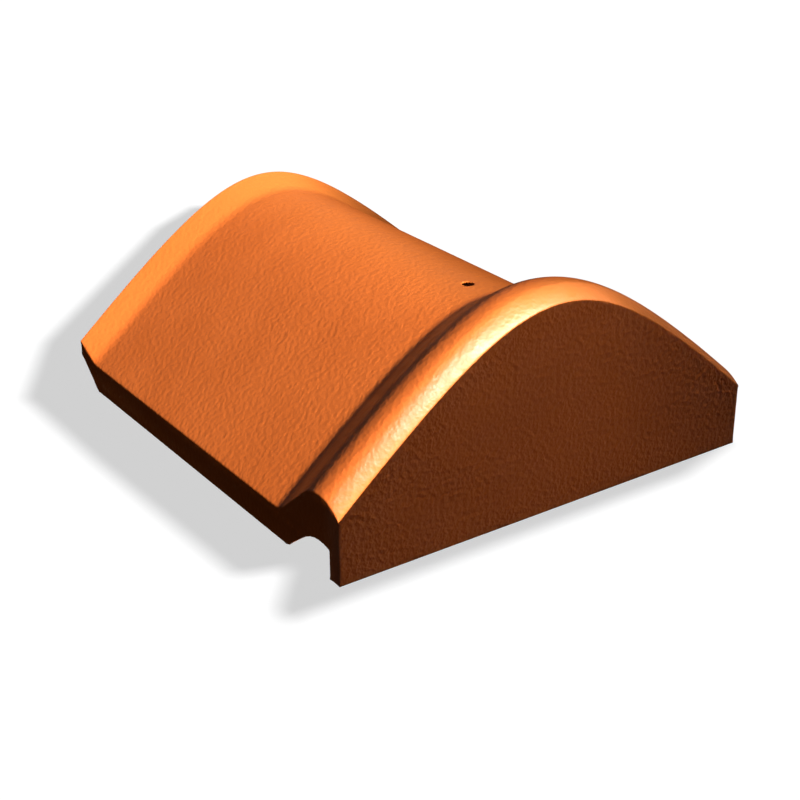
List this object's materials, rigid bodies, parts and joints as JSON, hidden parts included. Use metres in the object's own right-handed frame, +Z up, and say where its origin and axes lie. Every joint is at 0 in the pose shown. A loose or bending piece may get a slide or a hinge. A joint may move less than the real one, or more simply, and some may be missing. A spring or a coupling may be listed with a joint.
{
  "type": "ridge end tile",
  "caption": "Arched terracotta ridge end tile with a raised roll, a flat closing end plate, a flared open end and a nail hole on the crown.",
  "frame": {"origin": "centre of the footprint, on the plane that the tile rests on", "axes": "+X across the roof, +Y along the ridge from the end plate to the open end, +Z up"},
  "size_m": [0.24, 0.265, 0.1102],
  "materials": {
    "tile_clay": "satin, fine orange-peel grain"
  },
  "bodies": {
    "root": {"ridge_end_tile": "tile_clay"}
  },
  "joints": []
}
